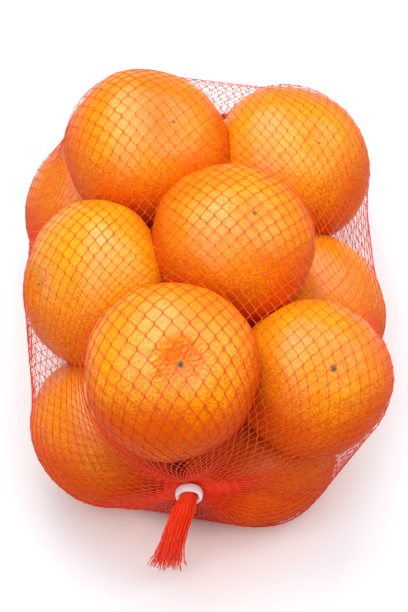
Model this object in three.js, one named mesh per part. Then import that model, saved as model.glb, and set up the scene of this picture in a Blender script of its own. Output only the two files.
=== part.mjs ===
// A net of mandarins: a knitted tube drawn tight over twelve fruits, closed at each end by a plastic
// ring, with the cut ends of the net hanging out of the rings as tails. It lies on its side.
// Millimetres, +Z up. The origin is on the surface under the net, in the middle of its box.
import * as THREE from "three";

// The fruits: middle, width across the segments, height from pole to pole, way the blossom pole faces.
// A fruit with no third coordinate stands on the surface, pressed a little flat.
const FRUITS = {
  frontTop: { at: [-11.5, -76.5, 89], across: 63, tall: 53, pole: [0.15, -0.47, 0.87] },
  middleTop: { at: [11, -14, 82.5], across: 63, tall: 52, pole: [0.3, -0.15, 0.94] },
  backLeftTop: { at: [-22.3, 37, 78.7], across: 67, tall: 55, pole: [0.4, -0.2, 0.89] },
  backRightTop: { at: [35.5, 44, 63.3], across: 66, tall: 50, pole: [0.43, -0.27, 0.86] },
  leftFlank: { at: [-41.6, -21, 67.5], across: 65, tall: 50, pole: [-0.86, -0.3, 0.4] },
  rightFlank: { at: [40.3, -63.6, 66.6], across: 58, tall: 50, pole: [0.23, -0.43, 0.87] },
  frontLeftLow: { at: [-38.2, -61.2], across: 60, tall: 51, pole: [0.8, 0.08, 0.56] },
  frontRightLow: { at: [21.8, -69.4], across: 59, tall: 43, pole: [-0.3, 0.2, 0.9] },
  rightLow: { at: [43.8, -3], across: 61, tall: 51, pole: [-0.6, -0.76, 0.18] },
  middleLow: { at: [-10, -11.5], across: 54, tall: 44, pole: [0, 0, 1] },
  backLeftLow: { at: [-45.3, 46.7], across: 65, tall: 53.4, pole: [0.8, -0.46, 0.28] },
  backLow: { at: [37, 80.5], across: 55, tall: 46, pole: [0.3, 0.5, 0.8] },
};
const PRESSED_FLAT = 0.6; // depth of the flat spot under a fruit that stands on the surface

// The rings: middle, and the way that the net leaves through each.
const RING_FRONT = { at: [-5.5, -96.5, 38.5], out: [0, -1, 0.1] };
const RING_BACK = { at: [-24, 96.5, 36], out: [0, 1, -0.1] };
const RING_BORE = 6.6; // inner diameter
const RING_WALL = 1.8; // thickness of the plastic
const RING_LENGTH = 3.2; // along the bundle
const RING_GAP = 0.3; // between the bundle of strands and the bore
const RING_ROUNDING = 0.8; // radius of the ring's edges
const RING_SIDES = 28;
const EDGE_STEPS = 2; // facets of a rounded edge
const NECK = 2.0; // length of bundle that shows behind a ring

// The tails: middle line from the ring to the cut end, relative to the ring, and the half sizes of the
// bundle there, which goes from round to a flat fan.
const TAIL_FRONT = [[-1, -7, -1.5], [-3, -10.5, -7], [-6, -13, -16], [-9, -14, -29]];
const TAIL_BACK = [[0.5, 7, -2.5], [1, 10.5, -8], [2.5, 13, -17], [4, 14, -28]];
const TAIL_END_WIDTH = 6.8;
const TAIL_END_THICKNESS = 2.4;
const TAIL_FLARE = 1.3; // more than 1 keeps the bundle narrow for longer before it fans out

// The net: knots round the tube, rows of knots along it, and the length of a strand that is just taut.
const KNOTS_ROUND = 56;
const ROWS = 66;
const TAIL_ROWS = 7;
const STRAND = 5.0;
const CRIMP = 0.07; // share of a taut strand's pull that a slack, crimped one keeps
const WEIGHT = 0.013; // how far a step lets the slack net sag
const STAND_OFF = 0.5; // half the thickness of the knitted strands

// Drawing the net tight: it starts as a wide egg round the heap and is pulled in step by step.
const EGG = { middle: [0, -7.5, 60], half: [130, 150, 130] };
const STEPS = 1600;
const PULL = 0.22;
const GLIDE = 0.96; // share of its speed that a knot keeps from one step to the next
const LONGEST_STEP = 1.2;

// One sees the fruits through the net, so the solid follows them: between the fruits its skin dips in from
// the net towards the heap's middle line. Underneath it stays flat, as the net lies there, and round the
// rings it keeps the form of the gathered net.
const HEAP_LINE = [[0, -45, 52], [0, 45, 50]];
const DEEPEST_DIP = 24;
const DIP_SMOOTHING = 6; // rounds in which a dip is evened out with those beside it
const FLAT_BELOW = 4; // height up to which nothing dips in
const DIPS_ABOVE = 16; // height from which the dips have their full depth
const GATHERED_WITHIN = 24; // distance from a ring's middle within which nothing dips in
const DIPS_BEYOND = 58; // distance from which the dips have their full depth

const vector = (values) => new THREE.Vector3(...values);

// A fruit's flattened ball as the net meets it, grown by the stand-off.
function fruitBody({ at, across, tall, pole }) {
  const axis = vector(pole).normalize();
  const wide = across / 2;
  const high = tall / 2;
  const reachDown = Math.hypot(wide * Math.sqrt(1 - axis.z ** 2), high * axis.z);
  const [x, y, z = reachDown - PRESSED_FLAT] = at;
  return { middle: new THREE.Vector3(x, y, z), axis, wide: wide + STAND_OFF, high: high + STAND_OFF };
}

// Moves a point that is inside a fruit straight out from its middle to its skin.
const away = new THREE.Vector3();
function leaveFruit(point, { middle, axis, wide, high }) {
  away.subVectors(point, middle);
  const reach = away.lengthSq();
  if (reach > wide * wide) return;
  const along = away.dot(axis);
  const depth = Math.sqrt((reach - along * along) / (wide * wide) + (along * along) / (high * high));
  if (depth < 1) point.copy(middle).addScaledVector(away, 1 / depth);
}

// One row of knots on an oval round a middle line. Odd rows are turned by half a knot.
function ovalRow(row, middle, side, up, halfWidth, halfThickness) {
  return Array.from({ length: KNOTS_ROUND }, (_, i) => {
    const turn = (2 * Math.PI * (i + (row % 2) / 2)) / KNOTS_ROUND;
    return middle
      .clone()
      .addScaledVector(side, halfWidth * Math.cos(turn))
      .addScaledVector(up, halfThickness * Math.sin(turn));
  });
}

// The rows of a tail: one at the neck behind the ring, then from the ring's mouth to the cut end.
function tailRows(ring, path, firstRow, rowStep) {
  const start = vector(ring.at);
  const out = vector(ring.out).normalize();
  const bundle = RING_BORE / 2 - RING_GAP;
  const neck = start.clone().addScaledVector(out, -RING_LENGTH / 2 - NECK);
  const mouth = start.clone().addScaledVector(out, RING_LENGTH / 2 + RING_GAP);
  const line = new THREE.CatmullRomCurve3([mouth, ...path.map((step) => vector(step).add(start))]);
  return Array.from({ length: TAIL_ROWS + 1 }, (_, k) => {
    const share = Math.max(0, k - 1) / (TAIL_ROWS - 1);
    const middle = k ? line.getPointAt(share) : neck;
    const tangent = k > 1 ? line.getTangentAt(share) : out;
    const side = new THREE.Vector3(1, 0, 0).addScaledVector(tangent, -tangent.x).normalize();
    const up = new THREE.Vector3().crossVectors(side, tangent).multiplyScalar(rowStep);
    const halfWidth = THREE.MathUtils.lerp(bundle, TAIL_END_WIDTH, share ** TAIL_FLARE);
    const halfThickness = THREE.MathUtils.lerp(bundle, TAIL_END_THICKNESS, share);
    return ovalRow(firstRow + k * rowStep, middle, side, up, halfWidth, halfThickness);
  });
}

// The rows of the bag before it is drawn tight: slices of the egg, from the front to the back.
function eggRows(firstRow) {
  const middle = vector(EGG.middle);
  const [halfX, halfY, halfZ] = EGG.half;
  return Array.from({ length: ROWS - 1 }, (_, k) => {
    const angle = (Math.PI * (k + 1)) / ROWS;
    const slice = middle.clone();
    slice.y -= halfY * Math.cos(angle);
    const side = new THREE.Vector3(1, 0, 0);
    const up = new THREE.Vector3(0, 0, 1);
    return ovalRow(firstRow + k, slice, side, up, halfX * Math.sin(angle), halfZ * Math.sin(angle));
  });
}

// The two knots that a knot is tied to in the next row, or in the row before.
function tiedTo(rows, row, i, step) {
  const other = rows[row + step];
  const left = row % 2 ? i : i - 1;
  return [other[(left + KNOTS_ROUND) % KNOTS_ROUND], other[(left + 1) % KNOTS_ROUND]];
}

// Pulls each free knot towards the four it is tied to, keeps it out of the fruits and above the surface.
function drawTight(rows, first, last, fruits) {
  const before = rows.map((row) => row.map((knot) => knot.clone()));
  const pull = new THREE.Vector3();
  const strand = new THREE.Vector3();
  for (let step = 0; step < STEPS; step++) {
    const now = rows.map((row) => row.map((knot) => knot.clone()));
    for (let row = first; row <= last; row++) {
      for (let i = 0; i < KNOTS_ROUND; i++) {
        const here = now[row][i];
        pull.set(0, 0, 0);
        for (const tied of [...tiedTo(now, row, i, -1), ...tiedTo(now, row, i, 1)]) {
          strand.subVectors(tied, here);
          pull.addScaledVector(strand, CRIMP + Math.max(0, 1 - STRAND / strand.length()));
        }
        const move = strand.subVectors(here, before[row][i]).multiplyScalar(GLIDE);
        move.addScaledVector(pull, PULL);
        move.z -= WEIGHT;
        const knot = rows[row][i].add(move.clampLength(0, LONGEST_STEP));
        for (const fruit of fruits) leaveFruit(knot, fruit);
        knot.z = Math.max(0, knot.z);
        before[row][i].copy(here);
      }
    }
  }
}

// How far a point goes along a way of unit length until it meets a fruit. The fruit's axis is stretched, so
// that the fruit is a ball.
function distanceToFruit(point, way, { middle, axis, wide, high }) {
  const stretched = (v) => v.addScaledVector(axis, v.dot(axis) * (wide / high - 1));
  const start = stretched(point.clone().sub(middle));
  const ahead = stretched(way.clone());
  const [a, b, c] = [ahead.lengthSq(), start.dot(ahead), start.lengthSq() - wide * wide];
  const root = Math.sqrt(b * b - a * c);
  const leaves = (root - b) / a;
  return leaves > 0 ? Math.max(0, -(root + b) / a) : Infinity;
}

// The deepest that the skin may dip in at a knot.
const ringMiddles = [RING_FRONT, RING_BACK].map(({ at }) => vector(at));
function deepestDip(knot, way, fruits) {
  const meets = Math.min(...fruits.map((fruit) => distanceToFruit(knot, way, fruit)));
  const fromRing = Math.min(...ringMiddles.map((middle) => middle.distanceTo(knot)));
  const raised = THREE.MathUtils.smoothstep(knot.z, FLAT_BELOW, DIPS_ABOVE);
  const loose = THREE.MathUtils.smoothstep(fromRing, GATHERED_WITHIN, DIPS_BEYOND);
  return Math.min(meets, DEEPEST_DIP) * raised * loose;
}

// Dips the skin in between the fruits. Each knot moves straight towards the heap's middle line.
function dipBetweenFruits(rows, first, last, fruits) {
  const heapLine = new THREE.Line3(...HEAP_LINE.map(vector));
  const inward = (knot) => heapLine.closestPointToPoint(knot, true, new THREE.Vector3()).sub(knot).normalize();
  const ways = rows.map((row) => row.map(inward));
  const inBag = (row) => row >= first && row <= last;
  const deepest = rows.map((row, k) =>
    row.map((knot, i) => (inBag(k) ? deepestDip(knot, ways[k][i], fruits) : 0))
  );
  let dips = deepest;
  for (let round = 0; round < DIP_SMOOTHING; round++) {
    dips = dips.map((row, k) =>
      row.map((dip, i) => {
        if (!inBag(k)) return 0;
        const beside = [...tiedTo(dips, k, i, -1), ...tiedTo(dips, k, i, 1)];
        const mean = beside.reduce((sum, other) => sum + other, 0) / beside.length;
        return Math.min(deepest[k][i], (dip + mean) / 2);
      })
    );
  }
  rows.forEach((row, k) => row.forEach((knot, i) => knot.addScaledVector(ways[k][i], dips[k][i])));
}

// A closed skin over the rows: a strip of triangles from each row to the next, and a fan over each end.
function skinOf(rows) {
  const points = rows.flat();
  const faces = [];
  const knot = (row, i) => row * KNOTS_ROUND + ((i + KNOTS_ROUND) % KNOTS_ROUND);
  for (let row = 0; row + 1 < rows.length; row++) {
    const shift = row % 2;
    for (let i = 0; i < KNOTS_ROUND; i++) {
      faces.push(knot(row, i + 1), knot(row, i), knot(row + 1, i + shift));
      faces.push(knot(row, i), knot(row + 1, i - 1 + shift), knot(row + 1, i + shift));
    }
  }
  for (const [row, way] of [[0, 1], [rows.length - 1, -1]]) {
    const middle = points.length;
    points.push(rows[row].reduce((sum, p) => sum.add(p), new THREE.Vector3()).divideScalar(KNOTS_ROUND));
    for (let i = 0; i < KNOTS_ROUND; i++) {
      faces.push(middle, knot(row, way > 0 ? i : i + 1), knot(row, way > 0 ? i + 1 : i));
    }
  }
  const skin = new THREE.BufferGeometry().setFromPoints(points);
  skin.setIndex(faces);
  skin.computeVertexNormals();
  return skin;
}

// The net with the fruits in it: one closed skin from the cut end of one tail to that of the other.
function netBag() {
  const front = tailRows(RING_FRONT, TAIL_FRONT, TAIL_ROWS, -1).reverse();
  const bag = eggRows(TAIL_ROWS + 1);
  const back = tailRows(RING_BACK, TAIL_BACK, TAIL_ROWS + ROWS, 1);
  const rows = [...front, ...bag, ...back];
  const fruits = Object.values(FRUITS).map(fruitBody);
  const [first, last] = [TAIL_ROWS + 1, TAIL_ROWS + ROWS - 1];
  drawTight(rows, first, last, fruits);
  dipBetweenFruits(rows, first, last, fruits);
  const peelThroughNet = new THREE.MeshStandardMaterial({ color: 0xf2801e, roughness: 0.55, metalness: 0 });
  const mesh = new THREE.Mesh(skinOf(rows), peelThroughNet);
  mesh.name = "net_bag";
  return mesh;
}

// A ring with rounded edges, turned so that its bore follows the bundle.
function ring(name, { at, out }) {
  const rounding = RING_ROUNDING;
  const outline = new THREE.Path();
  const [left, right] = [RING_BORE / 2, RING_BORE / 2 + RING_WALL];
  const [low, high] = [-RING_LENGTH / 2, RING_LENGTH / 2];
  outline.moveTo(right, low + rounding);
  outline.lineTo(right, high - rounding);
  outline.absarc(right - rounding, high - rounding, rounding, 0, Math.PI / 2);
  outline.lineTo(left + rounding, high);
  outline.absarc(left + rounding, high - rounding, rounding, Math.PI / 2, Math.PI);
  outline.lineTo(left, low + rounding);
  outline.absarc(left + rounding, low + rounding, rounding, Math.PI, 1.5 * Math.PI);
  outline.lineTo(right - rounding, low);
  outline.absarc(right - rounding, low + rounding, rounding, 1.5 * Math.PI, 2 * Math.PI);
  const shape = new THREE.LatheGeometry(outline.getPoints(EDGE_STEPS), RING_SIDES);
  const milkyPlastic = new THREE.MeshStandardMaterial({ color: 0xf0e9e8, roughness: 0.35, metalness: 0 });
  const mesh = new THREE.Mesh(shape, milkyPlastic);
  mesh.name = name;
  mesh.position.set(...at);
  mesh.quaternion.setFromUnitVectors(new THREE.Vector3(0, 1, 0), vector(out).normalize());
  return mesh;
}

const net = new THREE.Group();
net.add(netBag(), ring("ring_front", RING_FRONT), ring("ring_back", RING_BACK));
export default net;
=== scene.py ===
# %% [markdown]
# A net of mandarins: twelve fruits in a springy red net that a white ring closes at each end. The packed
# model gives the place and the size of everything. This lesson makes the surfaces that show: the peel of
# each fruit, the strands of the net with their cut tails, the rings, and a bright studio round them.

# %% Load the frame
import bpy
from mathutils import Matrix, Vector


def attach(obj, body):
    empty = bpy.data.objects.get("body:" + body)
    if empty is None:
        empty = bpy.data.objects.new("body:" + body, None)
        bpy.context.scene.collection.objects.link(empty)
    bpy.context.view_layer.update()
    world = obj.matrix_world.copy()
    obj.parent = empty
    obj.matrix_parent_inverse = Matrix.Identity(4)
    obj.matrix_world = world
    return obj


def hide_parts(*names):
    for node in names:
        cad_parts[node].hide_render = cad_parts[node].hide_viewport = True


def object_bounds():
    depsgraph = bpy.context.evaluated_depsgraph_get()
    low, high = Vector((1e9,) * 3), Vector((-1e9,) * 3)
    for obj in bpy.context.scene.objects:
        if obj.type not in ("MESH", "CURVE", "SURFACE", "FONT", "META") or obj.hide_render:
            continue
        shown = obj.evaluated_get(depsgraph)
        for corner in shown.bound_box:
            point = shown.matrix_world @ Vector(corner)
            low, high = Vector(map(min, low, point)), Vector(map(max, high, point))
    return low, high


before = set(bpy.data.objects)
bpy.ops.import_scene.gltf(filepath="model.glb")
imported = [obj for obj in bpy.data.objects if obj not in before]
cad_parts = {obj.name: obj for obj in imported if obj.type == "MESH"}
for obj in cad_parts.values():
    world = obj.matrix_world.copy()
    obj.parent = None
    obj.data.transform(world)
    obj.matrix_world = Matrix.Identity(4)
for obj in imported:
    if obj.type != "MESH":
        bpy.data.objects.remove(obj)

from types import SimpleNamespace

import bpy
import numpy as np
from mathutils import Vector

MM = 0.001  # metres in a millimetre
cad_box = [list(corner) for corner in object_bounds()]
cad_size = np.subtract(*cad_box[::-1]) / MM
print("the packed model measures", cad_size.round(1), "mm")

# %% [markdown]
# Every piece here is a surface worked out as whole arrays of points. They are in millimetres while the
# shape is made, as on a maker's drawing, and one function turns an array of points and an array of faces
# into a Blender mesh. It writes the arrays in one go, which is far quicker than adding points one by one.

# %% Arrays to meshes


def unit(vectors):
    """Vectors divided by their own lengths."""
    return vectors / np.linalg.norm(vectors, axis=-1, keepdims=True)


def put_piece(name, points, faces, material, **attributes):
    """A smooth mesh object from points in millimetres and faces with equal numbers of corners.

    Each attribute is one number for each point, which a material can read by its name.
    """
    mesh = bpy.data.meshes.new(name)
    mesh.vertices.add(len(points))
    mesh.vertices.foreach_set("co", (points * MM).astype(np.float32).ravel())
    mesh.loops.add(faces.size)
    mesh.loops.foreach_set("vertex_index", faces.astype(np.int32).ravel())
    mesh.polygons.add(len(faces))
    mesh.polygons.foreach_set("loop_start", np.arange(0, faces.size, faces.shape[1], dtype=np.int32))
    for key, values in attributes.items():
        layer = mesh.attributes.new(key, "FLOAT", "POINT")
        layer.data.foreach_set("value", np.asarray(values, np.float32).ravel())
    mesh.update(calc_edges=True)
    mesh.validate()
    mesh.shade_smooth()
    mesh.materials.append(material)
    piece = bpy.data.objects.new(name, mesh)
    bpy.context.scene.collection.objects.link(piece)
    return piece


def grid_corners(rows, columns, wrap_rows=False):
    """Four-cornered faces of a grid of points whose columns close on themselves.

    A face goes from a point to the next row, the next column and back, so that it faces the way of the
    row direction crossed with the column direction.
    """
    row = np.arange(rows if wrap_rows else rows - 1)[:, None]
    column = np.arange(columns)[None, :]
    next_row = (row + 1) % rows
    next_column = (column + 1) % columns
    here = row * columns + column
    below = next_row * columns + column
    below_right = next_row * columns + next_column
    right = row * columns + next_column
    return np.stack([here, below, below_right, right], axis=-1).reshape(-1, 4)


def ball_triangles(rows, columns):
    """Triangles of a ball: a grid of rows between two poles, whose points come after the grid's."""
    corners = grid_corners(rows, columns)
    halves = np.concatenate([corners[:, [0, 1, 2]], corners[:, [0, 2, 3]]])
    column = np.arange(columns)
    after = (column + 1) % columns
    first_pole = np.full(columns, rows * columns)
    last_row = (rows - 1) * columns
    first_fan = np.stack([first_pole, column, after], axis=-1)
    last_fan = np.stack([first_pole + 1, last_row + after, last_row + column], axis=-1)
    return np.concatenate([halves, first_fan, last_fan])


print("grids of points become faces as whole arrays")

# %% [markdown]
# Materials are networks of nodes. Written out link by link they are hard to read, so one small class wraps
# an output of a node. Adding or multiplying two of them adds a Math node, and one method makes any other
# node from its type, its settings and what goes into its sockets. A finish then reads like a formula.

# %% Shader formulas


class Wire:
    """One output of a node in a tree. Sums and products of wires and numbers add Math nodes."""

    def __init__(self, tree, socket=None):
        self.tree = tree
        self.socket = socket

    def node(self, kind, settings, sockets, output=0):
        """Adds a node, sets its settings first and then its sockets, and returns one of its outputs."""
        made = self.tree.nodes.new(kind)
        for name, value in settings.items():
            setattr(made, name, value)
        for name, value in sockets.items():
            if isinstance(value, Wire):
                self.tree.links.new(value.socket, made.inputs[name])
            else:
                made.inputs[name].default_value = value
        return Wire(self.tree, made.outputs[output] if made.outputs else None)

    def math(self, operation, first, second):
        return self.node("ShaderNodeMath", {"operation": operation}, {0: first, 1: second})

    def __add__(self, other):
        return self.math("ADD", self, other)

    def __radd__(self, other):
        return self.math("ADD", other, self)

    def __sub__(self, other):
        return self.math("SUBTRACT", self, other)

    def __rsub__(self, other):
        return self.math("SUBTRACT", other, self)

    def __mul__(self, other):
        return self.math("MULTIPLY", self, other)

    def __rmul__(self, other):
        return self.math("MULTIPLY", other, self)


def blank_finish(name):
    """A material with an empty tree of nodes, and a wire to start its formulas from."""
    material = bpy.data.materials.new(name)
    material.use_nodes = True
    material.node_tree.nodes.clear()
    return material, Wire(material.node_tree)


def step_between(value, low, high):
    """A soft step: 0 where the value is below low, 1 above high, with a smooth rise between."""
    return value.node(
        "ShaderNodeMapRange",
        {"interpolation_type": "SMOOTHSTEP"},
        {"Value": value, "From Min": low, "From Max": high},
    )


def mixed(share, first, second):
    """A colour between two colours."""
    colours = {0: share, 6: first, 7: second}
    return share.node("ShaderNodeMix", {"data_type": "RGBA", "clamp_factor": True}, colours, 2)


def noise(start, place, size, detail=2.0):
    """Cloudy values from about 0.3 to 0.7 whose clouds are about so many millimetres wide."""
    sockets = {"Vector": place, "Scale": 1 / (size * MM), "Detail": detail}
    return start.node("ShaderNodeTexNoise", {}, sockets)


def object_place(start):
    """The place of a point on the object, in metres."""
    return start.node("ShaderNodeTexCoord", {}, {}, "Object")


def attribute(start, name):
    """The number that a mesh holds for each point under that name."""
    return start.node("ShaderNodeAttribute", {"attribute_name": name}, {}, "Fac")


def output(start, shader):
    """Sends a shader to the material's surface."""
    start.node("ShaderNodeOutputMaterial", {}, {"Surface": shader})


print("shader formulas ready")

# %% [markdown]
# The fruits come first, because the net takes its form from them. Each is a flattened ball with a middle, a
# width across its segments, a height from pole to pole and a way that its blossom end faces. A fruit with
# no third coordinate stands on the surface. Where the springy net doesn't lie on a fruit, slack is the
# distance that it keeps. The looks say how ripe a fruit is, from yellow-orange at 0 to deep orange at 1, how
# wrinkled its peel is round the blossom end, and the radius of the scar there.

# %% The fruits and where they lie
MANDARINS = {
    "front_top": dict(at=(-11.5, -76.5, 89), across=63, tall=53, pole=(0.15, -0.47, 0.87)),
    "middle_top": dict(at=(11, -14, 82.5), across=63, tall=52, pole=(0.3, -0.15, 0.94)),
    "back_left_top": dict(at=(-22.3, 37, 78.7), across=67, tall=55, pole=(0.4, -0.2, 0.89)),
    "back_right_top": dict(at=(35.5, 44, 63.3), across=66, tall=50, pole=(0.43, -0.27, 0.86), slack=0.5),
    "left_flank": dict(at=(-41.6, -21, 67.5), across=65, tall=50, pole=(-0.86, -0.3, 0.4)),
    "right_flank": dict(at=(40.3, -63.6, 66.6), across=58, tall=50, pole=(0.23, -0.43, 0.87)),
    "front_left_low": dict(at=(-38.2, -61.2), across=60, tall=51, pole=(0.8, 0.08, 0.56), slack=0.5),
    "front_right_low": dict(at=(21.8, -69.4), across=59, tall=43, pole=(-0.3, 0.2, 0.9)),
    "right_low": dict(at=(43.8, -3), across=61, tall=51, pole=(-0.6, -0.76, 0.18)),
    "middle_low": dict(at=(-10, -11.5), across=54, tall=44, pole=(0, 0, 1)),
    "back_left_low": dict(at=(-45.3, 46.7), across=65, tall=53.4, pole=(0.8, -0.46, 0.28), slack=0.3),
    "back_low": dict(at=(37, 80.5), across=55, tall=46, pole=(0.3, 0.5, 0.8), slack=1.5),
}
LOOKS = {
    "front_top": dict(ripe=0.3, wrinkled=1.0, scar=1.8),
    "middle_top": dict(ripe=0.42, wrinkled=0.1, scar=1.15),
    "back_left_top": dict(ripe=0.38, wrinkled=0.1, scar=1.0),
    "back_right_top": dict(ripe=0.2, wrinkled=0.25, scar=0.9),
    "left_flank": dict(ripe=0.0, wrinkled=0.3, scar=0.85),
    "right_flank": dict(ripe=0.3, wrinkled=0.2, scar=1.6),
    "front_left_low": dict(ripe=0.5, wrinkled=0.3),
    "front_right_low": dict(ripe=0.7, wrinkled=0.4),
    "right_low": dict(ripe=0.3, wrinkled=0.3),
    "middle_low": dict(ripe=0.5, wrinkled=0.3),
    "back_left_low": dict(ripe=0.5, wrinkled=0.4),
    "back_low": dict(ripe=0.5, wrinkled=0.4),
}
PRESSED_FLAT = 0.6  # depth of the flat spot under a fruit that stands on the surface
UNDER_NET = 0.5  # height of the peel over the surface there, where the net lies between
FRUIT_SEED = 41
SIDE_HINT = (0.31, 0.95, 0.07)  # any way that no pole faces, to start the angles round a pole from


def wave_set(rng, count):
    """The directions and starts of waves that run every way through a fruit."""
    return unit(rng.normal(size=(count, 3))), rng.uniform(0, 2 * np.pi, count)


def mandarin_form(order, at, across, tall, pole, ripe, wrinkled, scar=1.3, slack=0.0):
    """What shapes one fruit: its middle, its own three axes, its half sizes and its unevenness."""
    rng = np.random.default_rng(FRUIT_SEED + order)
    axis = unit(np.array(pole, float))
    side = unit(np.cross(SIDE_HINT, axis))
    wide, high = across / 2, tall / 2
    reach_down = np.hypot(wide * np.sqrt(1 - axis[2] ** 2), high * axis[2])
    standing = len(at) == 2
    height = reach_down - PRESSED_FLAT if standing else at[2]
    return SimpleNamespace(
        middle=np.array([at[0], at[1], height]),
        axes=np.stack([side, np.cross(axis, side), axis]),
        wide=wide,
        high=high,
        standing=standing,
        slack=slack,
        ripe=ripe,
        wrinkled=wrinkled,
        scar=scar,
        segments=int(rng.integers(10, 13)),
        turn=rng.uniform(0, 2 * np.pi),
        lumps=wave_set(rng, 10),
        dents=wave_set(rng, 16),
        wrinkles=wave_set(rng, 24),
    )


fruits = {name: mandarin_form(n, **MANDARINS[name], **LOOKS[name]) for n, name in enumerate(MANDARINS)}
print(len(fruits), "fruits,", min(f.wide * 2 for f in fruits.values()), "mm across and more")

# %% [markdown]
# A mandarin isn't a smooth ball. Its shoulders are a little square, the blossom end is a shallow dimple with
# a scar, the stalk end a low neck with furrows between the segments, and the loose peel has lumps and, round
# the blossom end, wrinkles. All of it is one formula for the distance from the middle to the peel in any
# direction, so that the same formula also tells the net how far out it has to lie. Sculpting by hand would
# look as good, but the net could then only guess where the peel is.

# %% The form of the peel
SQUARENESS = 2.15  # 2 is a plain flattened ball
DIMPLE = SimpleNamespace(deep=0.5, deeper=3.3, wide=9.5)  # deeper is what a fully wrinkled fruit adds
COLLAR = SimpleNamespace(high=0.25, out=14.0, wide=5.0)
WRINKLES = SimpleNamespace(high=0.16, out=8.5, wide=4.5, length=2.0)
STALK_NECK = SimpleNamespace(high=1.1, wide=11.0)
STALK_PIT = SimpleNamespace(deep=1.7, wide=4.5)
STALK_FURROWS = SimpleNamespace(deep=0.4, out=9.0)
LUMPS = SimpleNamespace(high=0.42, length=34.0)
DENTS = SimpleNamespace(high=0.09, length=10.0)


def unevenness(points, waves, length):
    """Smooth bumps about one unit high: sine waves of one length that run many ways, added up."""
    ways, starts = waves
    return np.sin(points @ ways.T * (2 * np.pi / length) + starts).sum(-1) / np.sqrt(len(starts) / 2)


def hill(distance, wide):
    """A round hill that is 1 in its middle and has fallen to about a third after its width."""
    return np.exp(-((distance / wide) ** 2))


def bowl(distance, wide):
    """1 in the middle, with a flatter bottom and a steeper wall than a hill has."""
    return np.exp(-((distance / wide) ** 3))


def ring_hill(distance, out):
    """A ring that is 0 in the middle and 1 at a distance of out: x squared times e to 1 - x squared."""
    square = (distance / out) ** 2
    return square * np.exp(1 - square)


def reach(fruit, ways):
    """Distance from the middle of a fruit to its peel along directions of unit length.

    The ball is a superellipse turned round its pole: the powers of its two shares add up to one. The
    dimple, collar, furrows, wrinkles and stalk neck are added by their distance along the peel.
    """
    x, y, z = np.moveaxis(ways @ fruit.axes.T, -1, 0)
    angle = np.arccos(np.clip(z, -1, 1))
    around = np.arctan2(y, x)
    shares = (np.sin(angle) / fruit.wide) ** SQUARENESS + (np.abs(z) / fruit.high) ** SQUARENESS
    ball = shares ** (-1 / SQUARENESS)
    blossom = fruit.wide * angle
    stalk = fruit.wide * (np.pi - angle)
    segments = np.cos(fruit.segments * around + fruit.turn)
    on_ball = ways * fruit.wide
    dimple = DIMPLE.deep + DIMPLE.deeper * fruit.wrinkled
    ends = COLLAR.high * hill(blossom - COLLAR.out, COLLAR.wide) - dimple * bowl(blossom, DIMPLE.wide)
    ends += STALK_NECK.high * hill(stalk, STALK_NECK.wide) - STALK_PIT.deep * hill(stalk, STALK_PIT.wide)
    furrows = STALK_FURROWS.deep * ring_hill(stalk, STALK_FURROWS.out)
    wrinkled = fruit.wrinkled * WRINKLES.high * hill(blossom - WRINKLES.out, WRINKLES.wide)
    loose = wrinkled * unevenness(on_ball, fruit.wrinkles, WRINKLES.length)
    loose += LUMPS.high * unevenness(on_ball, fruit.lumps, LUMPS.length)
    loose += DENTS.high * unevenness(on_ball, fruit.dents, DENTS.length)
    return ball + ends + furrows * segments + loose


def pushed_out(points, fruit, gap):
    """Points moved straight out from the middle of a fruit to its peel and a gap, if they are nearer."""
    away = points - fruit.middle
    distance = np.linalg.norm(away, axis=-1)
    near = distance < fruit.wide + gap + STALK_NECK.high
    ways = away[near] / distance[near, None]
    points[near] = fruit.middle + ways * np.maximum(distance[near], reach(fruit, ways) + gap)[:, None]
    return points


sample = fruits["front_top"]
print("front_top reaches", reach(sample, sample.axes).round(1), "mm along its three axes")

# %% [markdown]
# Ripe fruits in a tight net press on each other. Where two of the formulas overlap, each peel gives way by
# half of the depth, which leaves a shared flat spot, and where a fruit stands it is flat too.

# %% The peel of each fruit
PEEL_ROWS = 100
PEEL_COLUMNS = 160
POLE_CROWDING = 1.35  # more than 1 puts more rows near the blossom end, where the wrinkles are


def peel_ways(fruit):
    """Directions on a grid from the blossom pole to the stalk pole, and the two poles after them."""
    share = np.linspace(0, 1, PEEL_ROWS + 2)[1:-1, None]
    angle = np.pi * share**POLE_CROWDING
    around = 2 * np.pi * np.arange(PEEL_COLUMNS)[None, :] / PEEL_COLUMNS
    flat = np.sin(angle)
    local = np.stack(np.broadcast_arrays(flat * np.cos(around), flat * np.sin(around), np.cos(angle)), -1)
    poles = np.array([[0, 0, 1.0], [0, 0, -1.0]])
    return np.concatenate([local.reshape(-1, 3), poles]) @ fruit.axes


def pressed(points, others):
    """Points moved out of other fruits by half the depth to which they are inside them."""
    moved = points.copy()
    for other in others:
        moved += (pushed_out(points.copy(), other, 0.0) - points) / 2
    return moved


def peel_points(name):
    """The points of one peel, pressed by its neighbours and by the surface it stands on."""
    fruit = fruits[name]
    ways = peel_ways(fruit)
    free = fruit.middle + ways * reach(fruit, ways)[:, None]
    points = pressed(free, [other for key, other in fruits.items() if key != name])
    points[:, 2] = np.maximum(points[:, 2], UNDER_NET)
    return points, ways


def distance_from_pole(fruit, ways, sign):
    """Millimetres along the peel from the blossom pole, or with a minus sign from the stalk pole."""
    return fruit.wide * np.arccos(np.clip(sign * ways @ fruit.axes[2], -1, 1))


print("each peel is a grid of", PEEL_ROWS, "rows and", PEEL_COLUMNS, "columns")

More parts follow.
